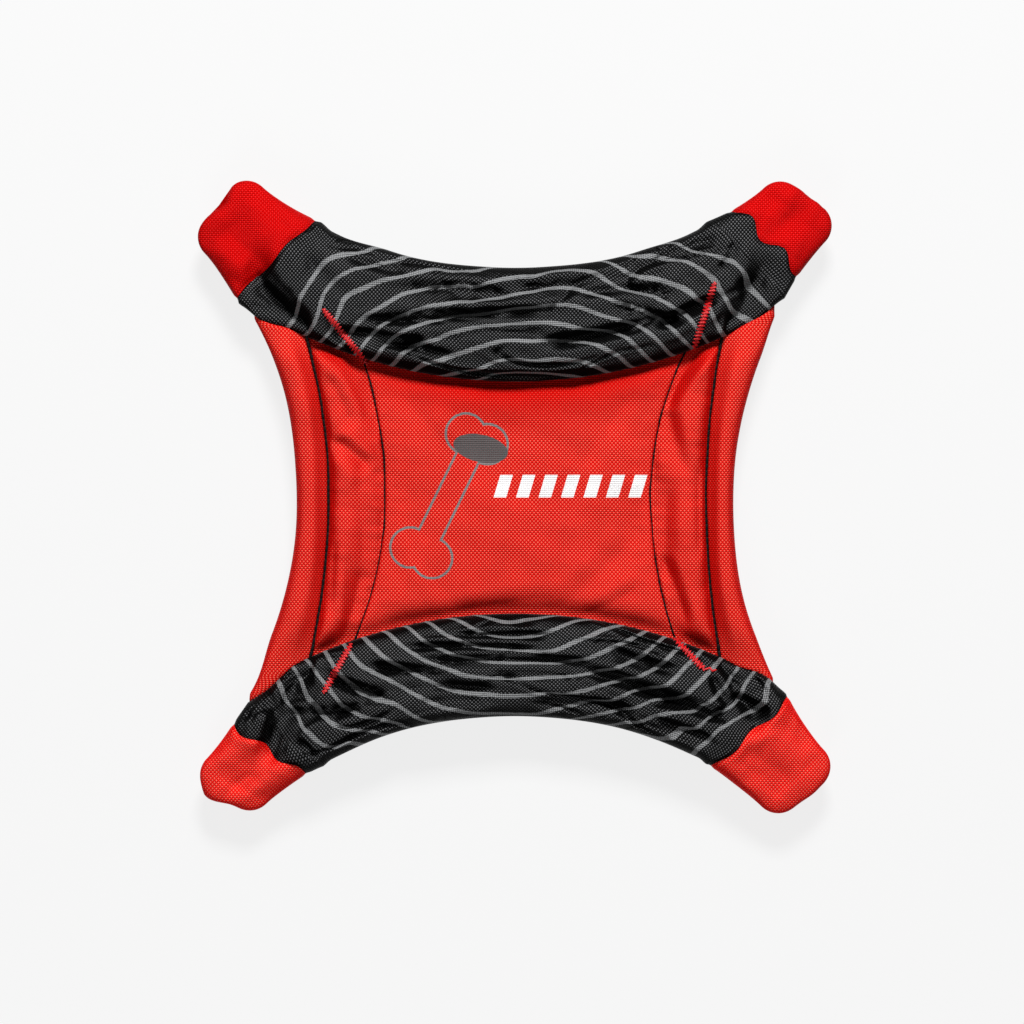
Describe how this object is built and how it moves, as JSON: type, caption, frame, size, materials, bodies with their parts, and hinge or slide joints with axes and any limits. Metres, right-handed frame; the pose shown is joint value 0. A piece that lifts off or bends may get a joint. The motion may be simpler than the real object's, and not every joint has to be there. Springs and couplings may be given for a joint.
{
  "type": "soft flying ring",
  "caption": "Soft padded flyer to throw and fetch: two curved padded bands with capped ears around a stitched cloth panel with rolled edges.",
  "frame": {"origin": "under the flyer's centre, on the plane that the backs of its two bands lie on", "axes": "+X to the right edge tube, +Y to the top band, +Z out of the front panel"},
  "size_m": [0.24, 0.24, 0.0236],
  "materials": {
    "panel_cloth": "coarse plain-woven nylon in red, matt with a slight sheen on each yarn",
    "edge_cloth": "the same red woven nylon, rolled over a tube of filling",
    "cap_cloth": "the same red woven nylon, gathered over each ear",
    "band_cloth": "coarse plain-woven nylon in black, printed with grey ripple lines",
    "filling": "soft white polyester filling",
    "dark_thread": "black bonded sewing thread",
    "red_thread": "red bonded sewing thread in a close zigzag"
  },
  "bodies": {
    "root": {"back_panel": "panel_cloth", "bottom_band_cover": "band_cloth", "bottom_band_foam": "filling", "bottom_band_seam_thread": "dark_thread", "bottom_left_bar_tack": "red_thread", "bottom_left_cap_seam_thread": "dark_thread", "bottom_left_corner_cap": "cap_cloth", "bottom_left_corner_foam": "filling", "bottom_right_bar_tack": "red_thread", "bottom_right_cap_seam_thread": "dark_thread", "bottom_right_corner_cap": "cap_cloth", "bottom_right_corner_foam": "filling", "centre_foam": "filling", "front_panel": "panel_cloth", "left_channel_foam": "filling", "left_edge_cover": "edge_cloth", "left_edge_foam": "filling", "left_inner_seam_thread": "dark_thread", "left_outer_seam_thread": "dark_thread", "right_channel_foam": "filling", "right_edge_cover": "edge_cloth", "right_edge_foam": "filling", "right_inner_seam_thread": "dark_thread", "right_outer_seam_thread": "dark_thread", "top_band_cover": "band_cloth", "top_band_foam": "filling", "top_band_seam_thread": "dark_thread", "top_left_bar_tack": "red_thread", "top_left_cap_seam_thread": "dark_thread", "top_left_corner_cap": "cap_cloth", "top_left_corner_foam": "filling", "top_right_bar_tack": "red_thread", "top_right_cap_seam_thread": "dark_thread", "top_right_corner_cap": "cap_cloth", "top_right_corner_foam": "filling"}
  },
  "joints": []
}
